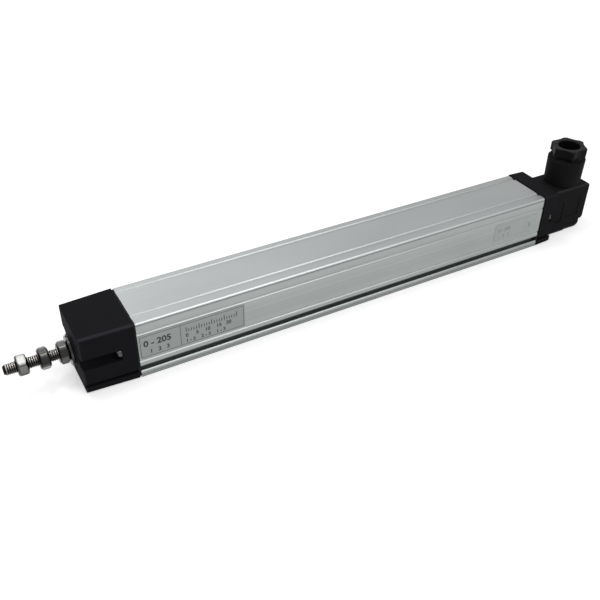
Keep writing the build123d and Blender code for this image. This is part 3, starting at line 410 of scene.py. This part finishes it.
def rod_nut_steel(name, colour, roughness, seed, painted_corner_tone, *pieces):
    """A nut or washer: stained plating, painted light along its corners, grime round its bore and
    painted shade on its bevels.
    """
    finish = Finish(name, 1.0)
    radius = from_rod_axis(finish)
    x, _, _ = finish.axes()
    bevels = 0.0
    for piece in pieces:
        front, rear = (corner[0] for corner in box_of(piece))
        from_middle = abs(x - (front + rear) / 2)
        half = (rear - front) / 2
        near = from_middle < half + 0.3
        bevels = from_middle.ramp(half - bevel_start, half - bevel_end) * near + bevels
    stains = finish.noise((0.35, 0.5, 0.5), 4.0, 0.6, seed)
    drawn = finish.noise((0.5, 6.0, 6.0), 3.0, 0.6, seed + 2.0)
    pits = finish.noise((4.0, 4.0, 4.0), 3.0, 0.6, seed + 4.0)
    grime = (radius + stains * 0.8).ramp(nut_grime_outer, nut_grime_inner)
    corners = radius.ramp(nut_corner_start, nut_corner_end)
    surface = finish.blend(stains * 0.6 + drawn * 0.4, tint(colour, 0.6), tint(colour, 1.3))
    # Painted highlight along the corners where their tone is above 1, painted shade where it is below
    surface = finish.blend(corners * 0.6, surface, tint(colour, painted_corner_tone))
    # Painted shade on the bevels
    surface = finish.blend(bevels * 0.9, surface, tint(colour, 0.12))
    surface = finish.blend(grime * 0.85, surface, (0.008, 0.006, 0.005))
    sheen = roughness + stains * 0.14 + grime * 0.3
    return finish.dress(surface, sheen, finish.bump(drawn + pits * 0.5, 0.008))


def worked_metal(name, colour, roughness, lines, seed, wear=0.35):
    """Metal with tool marks along the given axes, stains and bright spots of wear."""
    finish = Finish(name, 1.0)
    marks = finish.noise(lines, 3.0, 0.6, seed)
    stains = finish.noise((0.35, 0.5, 0.5), 4.0, 0.6, seed + 2.0)
    pits = finish.noise((4.0, 4.0, 4.0), 3.0, 0.6, seed + 4.0)
    bright = finish.noise((0.8, 0.9, 0.9), 3.0, 0.6, seed + 6.0).ramp(0.55, 0.7)
    shade = marks * 0.4 + stains * 0.6
    surface = finish.blend(shade, tint(colour, 0.72), tint(colour, 1.12))
    surface = finish.blend(bright * wear, surface, tint(colour, 1.35))
    sheen = roughness + stains * 0.14 + marks * 0.06 - bright * 0.08
    return finish.dress(surface, sheen, finish.bump(marks + pits * 0.5, 0.008))


def inside(value, low, high):
    """1 where a value lies between two limits."""
    return (value > low) * (value < high)


def rectangle(finish, front, rear, bottom, top):
    """1 inside a rectangle on a label."""
    x, y, z = finish.axes()
    return inside(x, front, rear) * inside(z, bottom, top)


def frame_mark(finish, front, rear, bottom, top, line):
    """1 on the printed line round a rectangle on a label."""
    outer = rectangle(finish, front - line, rear + line, bottom - line, top + line)
    return outer * (1 - rectangle(finish, front, rear, bottom, top))


def label_film(name, base, ink, mark, seed):
    """Silver film with a fine brushed print ground and its printed frame."""
    finish = Finish(name, 0.35, Specular_IOR_Level=0.5, Coat_Weight=0.15, Coat_Roughness=0.3)
    grain = finish.noise((0.1, 5.0, 8.0), 2.0, 0.5, seed)
    cloud = finish.noise((0.08, 0.1, 0.1), 3.0, 0.5, seed + 2.0)
    ground = finish.blend(grain * 0.5 + cloud * 0.5, tint(base, 0.88), tint(base, 1.1))
    surface = finish.blend(mark(finish), ground, ink)
    return finish.dress(surface, 0.38 + grain * 0.12 + cloud * 0.1, finish.bump(grain, 0.006))


def type_label_mark(finish):
    """The frame round the type label's two cells and the line between them."""
    border = frame_mark(finish, cells_front, cells_rear, cells_bottom, cells_top, cells_line)
    low = cells_divider - cells_line / 2
    return border + rectangle(finish, low, low + cells_line, cells_bottom, cells_top)


def rear_label_mark(finish):
    """The faint frame on the rear label."""
    border = frame_mark(finish, faint_front, faint_rear, faint_bottom, faint_top, faint_line)
    divider_end = faint_divider + faint_line
    divider = rectangle(finish, faint_divider, divider_end, faint_bottom, faint_top)
    return (border + divider) * 0.35


def printed_ink(name, colour):
    """Label ink with a slightly uneven edge of tone."""
    finish = Finish(name, 0.0, Specular_IOR_Level=0.4)
    blots = finish.noise((2.5, 2.5, 2.5), 3.0, 0.6, 21.0)
    surface = finish.blend(blots, tint(colour, 0.8), tint(colour, 1.4))
    return finish.dress(surface, 0.5 + blots * 0.15, finish.bump(blots, 0.004))


def board_laminate():
    """Glass-fibre board: woven ground under green lacquer."""
    finish = Finish("board_laminate", 0.0, Coat_Weight=0.4, Coat_Roughness=0.2)
    warp = finish.noise((0.4, 5.0, 1.0), 2.0, 0.5, 1.0)
    weft = finish.noise((5.0, 0.4, 1.0), 2.0, 0.5, 2.0)
    weave = warp * 0.5 + weft * 0.5
    surface = finish.blend(weave, (0.02, 0.10, 0.045), (0.05, 0.2, 0.09))
    return finish.dress(surface, 0.4 + weave * 0.15, finish.bump(weave, 0.02))


# One finish for each material slot of the record
finishes = {
    "anodised_aluminium": profile_aluminium(),
    "cap_plastic": moulded_plastic(
        "cap_plastic", (0.0078, 0.0078, 0.0098), 3.2, 0.7, 4.0, 0.05, cap_corner_highlight
    ),
    "connector_plastic": moulded_plastic(
        "connector_plastic", (0.0066, 0.0067, 0.007), 3.6, 0.6, 9.0, 0.045, connector_light_and_shade
    ),
    "gland_plastic": moulded_plastic(
        "gland_plastic", (0.004, 0.004, 0.004), 2.4, 0.42, 14.0, 0.06, gland_rim_highlight
    ),
    "bush_plastic": moulded_plastic("bush_plastic", (0.1, 0.09, 0.08), 2.5, 0.45, 19.0),
    "carriage_plastic": moulded_plastic("carriage_plastic", (0.62, 0.6, 0.52), 2.0, 0.45, 24.0),
    "base_plastic": moulded_plastic("base_plastic", (0.02, 0.02, 0.02), 2.6, 0.45, 29.0),
    "insert_plastic": moulded_plastic("insert_plastic", (0.045, 0.045, 0.046), 2.6, 0.45, 34.0),
    "ring_plastic": moulded_plastic("ring_plastic", (0.42, 0.42, 0.4), 2.6, 0.4, 39.0),
    "wire_insulation": moulded_plastic("wire_insulation", (0.55, 0.03, 0.02), 1.5, 0.35, 44.0),
    "gasket_rubber": rubber("gasket_rubber", (0.006, 0.006, 0.006), 3.0),
    "seal_rubber": rubber("seal_rubber", (0.006, 0.006, 0.0065), 6.0),
    "bumper_rubber": rubber("bumper_rubber", (0.02, 0.02, 0.02), 9.0),
    "screw_steel": worked_metal("screw_steel", (0.085, 0.085, 0.082), 0.16, (2.0, 2.0, 2.0), 3.0),
    "rod_steel": threaded_steel("rod_steel", (0.215, 0.208, 0.202), 8.0),
    "outer_nut_steel": rod_nut_steel(
        "outer_nut_steel", (0.15, 0.15, 0.147), 0.14, 13.0, 0.3, "rod_outer_nut"
    ),
    "nut_steel": rod_nut_steel(
        "nut_steel", (0.037, 0.037, 0.036), 0.13, 18.0, 3.4, "rod_middle_nut", "rod_inner_nut"
    ),
    "washer_steel": rod_nut_steel("washer_steel", (0.055, 0.055, 0.055), 0.2, 23.0, 1.0),
    "clip_steel": worked_metal("clip_steel", (0.5, 0.5, 0.49), 0.3, (0.5, 5.0, 0.5), 28.0),
    "spring_steel": worked_metal("spring_steel", (0.42, 0.43, 0.46), 0.25, (0.3, 5.0, 0.5), 33.0),
    "brush_metal": worked_metal("brush_metal", (0.8, 0.7, 0.45), 0.25, (0.3, 6.0, 0.5), 38.0),
    "silver_track": worked_metal("silver_track", (0.66, 0.66, 0.63), 0.4, (0.2, 7.0, 1.0), 43.0),
    "terminal_brass": worked_metal("terminal_brass", (0.75, 0.62, 0.35), 0.3, (3.0, 3.0, 1.0), 48.0),
    "pin_metal": worked_metal("pin_metal", (0.7, 0.66, 0.55), 0.26, (0.3, 6.0, 6.0), 53.0),
    "carbon_track": moulded_plastic("carbon_track", (0.012, 0.012, 0.012), 6.0, 0.35, 58.0),
    "board_laminate": board_laminate(),
    "type_label_film": label_film(
        "type_label_film", (0.295, 0.315, 0.307), (0.09, 0.095, 0.09), type_label_mark, 5.0
    ),
    "rear_label_film": label_film(
        "rear_label_film", (0.335, 0.357, 0.35), (0.12, 0.125, 0.125), rear_label_mark, 8.0
    ),
}
label_ink = printed_ink("label_ink", (0.03, 0.03, 0.03))
faint_ink = printed_ink("faint_ink", (0.21, 0.22, 0.218))

for subpart in frame["record"]["subparts"]:
    node = frame["nodes"][subpart["node"]]
    for material_slot in node.material_slots:
        material_slot.material = finishes[subpart["material_slot"]]


def printed_text(name, words, start, height, size, ink, label):
    """Flat printed figures on the near side, from their lower left corner."""
    curve = bpy.data.curves.new(name, "FONT")
    curve.body = words
    curve.size = size * MM
    curve.offset = size * MM * print_weight
    curve.resolution_u = 4
    flat = bpy.data.objects.new(name, curve)
    bpy.context.scene.collection.objects.link(flat)
    bpy.context.view_layer.update()
    ready = flat.evaluated_get(bpy.context.evaluated_depsgraph_get())
    mesh = bpy.data.meshes.new_from_object(ready)
    bpy.data.objects.remove(flat)
    face = box_of(label)[0][1] - print_lift
    corner = Vector((start, face, height)) * MM
    mesh.transform(Matrix.Translation(corner) @ Matrix.Rotation(math.pi / 2, 4, "X"))
    figures = bpy.data.objects.new(name, mesh)
    bpy.context.scene.collection.objects.link(figures)
    figures.data.materials.clear()
    figures.data.materials.append(ink)
    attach(figures, "housing")
    return figures


# Plain numbers on the type label: name, words, start, height and size
label_figures = (
    ("stroke_figures", "0 - 205", -123.4, 18.0, 4.9),
    ("wire_figures", "1   2   3", -120.6, 13.4, 3.2),
    ("scale_figures", "0     5    10    15   20", -102.0, 16.2, 2.9),
    ("lower_figures", "1 - 2    2 - 3    1 - 3", -102.0, 12.9, 2.7),
)
for name, words, start, height, size in label_figures:
    printed_text(name, words, start, height, size, label_ink, "type_label")
faint_figures = (
    ("faint_upper_figures", "0 - 205", 93.4, 19.0, 3.2),
    ("faint_lower_figures", "1   2   3", 93.4, 14.8, 2.8),
    ("faint_side_figures", "5", 116.2, 16.4, 4.6),
)
for name, words, start, height, size in faint_figures:
    printed_text(name, words, start, height, size, faint_ink, "rear_label")


class Shape:
    """A Geometry Nodes tree with named inputs, and the plain mesh that it makes."""

    def __init__(self, name, inputs):
        self.name = name
        self.tree = bpy.data.node_groups.new(name, "GeometryNodeTree")
        self.sockets = {}
        for label, (kind, value) in inputs.items():
            socket = self.tree.interface.new_socket(label, in_out="INPUT", socket_type=kind)
            self.sockets[label] = (socket.identifier, value)
        self.tree.interface.new_socket("Mesh", in_out="OUTPUT", socket_type="NodeSocketGeometry")
        self.group_input = self.tree.nodes.new("NodeGroupInput")

    def sent(self, label):
        """The output that carries a named input."""
        return self.group_input.outputs[label]

    def node(self, kind, settings=None, inputs=None, output=0):
        """A node of this kind, with its settings made first and then its inputs."""
        node = self.tree.nodes.new(kind)
        for setting, value in (settings or {}).items():
            setattr(node, setting, value)
        for socket, value in (inputs or {}).items():
            if isinstance(value, bpy.types.NodeSocket):
                self.tree.links.new(value, node.inputs[socket])
            else:
                node.inputs[socket].default_value = value
        return node.outputs[output]

    def math(self, operation, *values):
        """A Math node of these values."""
        return self.node("ShaderNodeMath", {"operation": operation}, dict(enumerate(values)))

    def made(self, geometry, material):
        """The plain object that the tree gives, in this material."""
        real = self.node("GeometryNodeRealizeInstances", None, {"Geometry": geometry})
        dressed = self.node("GeometryNodeSetMaterial", None, {"Geometry": real, "Material": material})
        self.tree.links.new(dressed, self.tree.nodes.new("NodeGroupOutput").inputs[0])
        holder = bpy.data.objects.new(self.name, bpy.data.meshes.new(self.name))
        bpy.context.scene.collection.objects.link(holder)
        modifier = holder.modifiers.new(self.name, "NODES")
        modifier.node_group = self.tree
        for identifier, value in self.sockets.values():
            modifier[identifier] = value
        bpy.context.view_layer.update()
        ready = holder.evaluated_get(bpy.context.evaluated_depsgraph_get())
        mesh = bpy.data.meshes.new_from_object(ready)
        holder.modifiers.remove(modifier)
        holder.data = mesh
        return holder


def scale_marks():
    """The printed scale: a row of thin upright marks, every fifth one taller."""
    inputs = {
        "Count": ("NodeSocketInt", scale_ticks),
        "Pitch": ("NodeSocketFloat", scale_pitch * MM),
        "Width": ("NodeSocketFloat", tick_width * MM),
        "Height": ("NodeSocketFloat", tick_height * MM),
        "Film": ("NodeSocketFloat", tick_film * MM),
    }
    shape = Shape("scale_marks", inputs)
    gaps = shape.math("SUBTRACT", shape.sent("Count"), 1)
    row_length = shape.math("MULTIPLY", gaps, shape.sent("Pitch"))
    row_end = shape.node("ShaderNodeCombineXYZ", None, {"X": row_length})
    row = {"Count": shape.sent("Count"), "Start Location": (0, 0, 0), "Offset": row_end}
    points = shape.node("GeometryNodeMeshLine", {"mode": "END_POINTS"}, row)
    sides = {"X": shape.sent("Width"), "Y": shape.sent("Film"), "Z": shape.sent("Height")}
    size = shape.node("ShaderNodeCombineXYZ", None, sides)
    tick = shape.node("GeometryNodeMeshCube", None, {"Size": size})
    half_height = shape.math("MULTIPLY", shape.sent("Height"), 0.5)
    rise = shape.node("ShaderNodeCombineXYZ", None, {"Z": half_height})
    standing = shape.node("GeometryNodeTransform", None, {"Geometry": tick, "Translation": rise})
    number = shape.node("GeometryNodeInputIndex")
    rest = shape.math("MODULO", number, long_tick_every)
    is_long = shape.math("LESS_THAN", rest, 0.5)
    growth = shape.math("MULTIPLY_ADD", is_long, long_tick_height / tick_height - 1, 1)
    stretch = shape.node("ShaderNodeCombineXYZ", None, {"X": 1.0, "Y": 1.0, "Z": growth})
    placed = {"Points": points, "Instance": standing, "Scale": stretch}
    marks = shape.made(shape.node("GeometryNodeInstanceOnPoints", None, placed), label_ink)
    corner = Vector((scale_start, label_face - print_lift, scale_height)) * MM
    marks.data.transform(Matrix.Translation(corner))
    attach(marks, "housing")


scale_marks()


def scene_ground():
    """The pale floor, white to the camera as far as its edge, which keeps the object's shadow."""
    mesh = bpy.data.meshes.new("floor")
    side = floor_reach * MM
    corners = [(-side, -side, 0), (side, -side, 0), (side, side, 0), (-side, side, 0)]
    mesh.from_pydata(corners, [], [(0, 1, 2, 3)])
    floor = bpy.data.objects.new("floor", mesh)
    bpy.context.scene.collection.objects.link(floor)
    finish = Finish("floor_white", 0.0, Specular_IOR_Level=0.0)
    finish.dress((floor_white,) * 3, 0.9)
    seen = ("Is Camera Ray", "Is Glossy Ray", "Is Transmission Ray")
    rays = sum(finish.node("ShaderNodeLightPath", output=ray) for ray in seen)
    x, y, _ = finish.axes()
    distance = ((x * x + y * y) ** 0.5).ramp(near_glow_radius, far_glow_radius)
    glow = finish.blend(distance, (near_glow,) * 3, (1.0, 1.0, 1.0))
    finish.feed(finish.shader.inputs["Emission Color"], glow)
    finish.feed(finish.shader.inputs["Emission Strength"], rays * floor_glow)
    mesh.materials.append(finish.material)


def softbox(name, place, target, width, height, power):
    """A large soft lamp at a place, aimed at a target."""
    lamp = bpy.data.lights.new(name, "AREA")
    lamp.shape = "RECTANGLE"
    lamp.size = width * MM
    lamp.size_y = height * MM
    lamp.energy = power
    holder = bpy.data.objects.new(name, lamp)
    bpy.context.scene.collection.objects.link(holder)
    spot = Vector(place) * MM
    aim = (Vector(target) * MM - spot).to_track_quat("-Z", "Y").to_matrix().to_4x4()
    holder.matrix_world = Matrix.Translation(spot) @ aim


def studio_light():
    """White surroundings for the camera and reflections, with soft lamps above and in front."""
    world = bpy.data.worlds.new("studio")
    bpy.context.scene.world = world
    world.use_nodes = True
    tree = world.node_tree
    background = tree.nodes["Background"]
    background.inputs["Color"].default_value = (1.0, 1.0, 1.0, 1.0)
    rays = tree.nodes.new("ShaderNodeLightPath")
    mirrored = tree.nodes.new("ShaderNodeMath")
    mirrored.operation = "MAXIMUM"
    tree.links.new(rays.outputs["Is Glossy Ray"], mirrored.inputs[0])
    tree.links.new(rays.outputs["Is Transmission Ray"], mirrored.inputs[1])
    seen = tree.nodes.new("ShaderNodeMath")
    seen.operation = "MAXIMUM"
    tree.links.new(rays.outputs["Is Camera Ray"], seen.inputs[0])
    tree.links.new(mirrored.outputs[0], seen.inputs[1])
    strength = tree.nodes.new("ShaderNodeMapRange")
    strength.inputs["To Min"].default_value = world_light
    strength.inputs["To Max"].default_value = 1.0
    tree.links.new(seen.outputs[0], strength.inputs["Value"])
    tree.links.new(strength.outputs[0], background.inputs["Strength"])
    for box in softboxes:
        softbox(*box)


def photo_camera():
    """The camera where the photograph was taken from."""
    data = bpy.data.cameras.new("photo_camera")
    data.lens = camera_lens
    data.sensor_width = 36.0
    data.clip_start = 0.01
    camera = bpy.data.objects.new("photo_camera", data)
    bpy.context.scene.collection.objects.link(camera)
    turn = Matrix.Identity(4)
    for angle, axis in zip(camera_turn, "ZXY"):
        turn = turn @ Matrix.Rotation(math.radians(angle), 4, axis)
    camera.matrix_world = Matrix.Translation(Vector(camera_place) * MM) @ turn
    bpy.context.scene.camera = camera


scene_ground()
studio_light()
photo_camera()
bpy.context.scene.view_settings.view_transform = "Standard"
